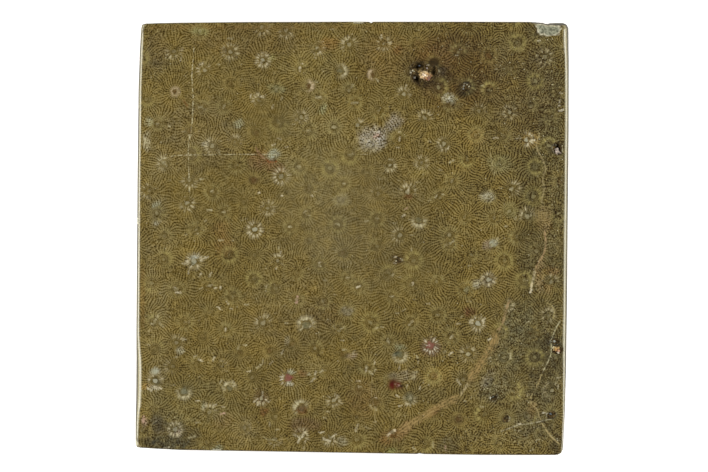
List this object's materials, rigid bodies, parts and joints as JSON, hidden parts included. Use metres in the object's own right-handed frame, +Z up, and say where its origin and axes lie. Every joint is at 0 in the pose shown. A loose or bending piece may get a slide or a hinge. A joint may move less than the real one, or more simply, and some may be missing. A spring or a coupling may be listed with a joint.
{
  "type": "fossil rugose coral slab",
  "caption": "Square sawn slab of fossil coral limestone with a polished face, rounded side edges and small chips, lying flat on its sawn back.",
  "frame": {"origin": "under the middle of the slab, on the surface that its sawn back rests on", "axes": "+Z up, square to the polished face; +X to the right and +Y to the far side as one looks down on the face"},
  "size_m": [0.1272, 0.1271, 0.012],
  "materials": {
    "coral_limestone": "polished fossil coral limestone, olive brown; the sawn sides and back are matt"
  },
  "bodies": {
    "root": {"coral_slab": "coral_limestone"}
  },
  "joints": []
}
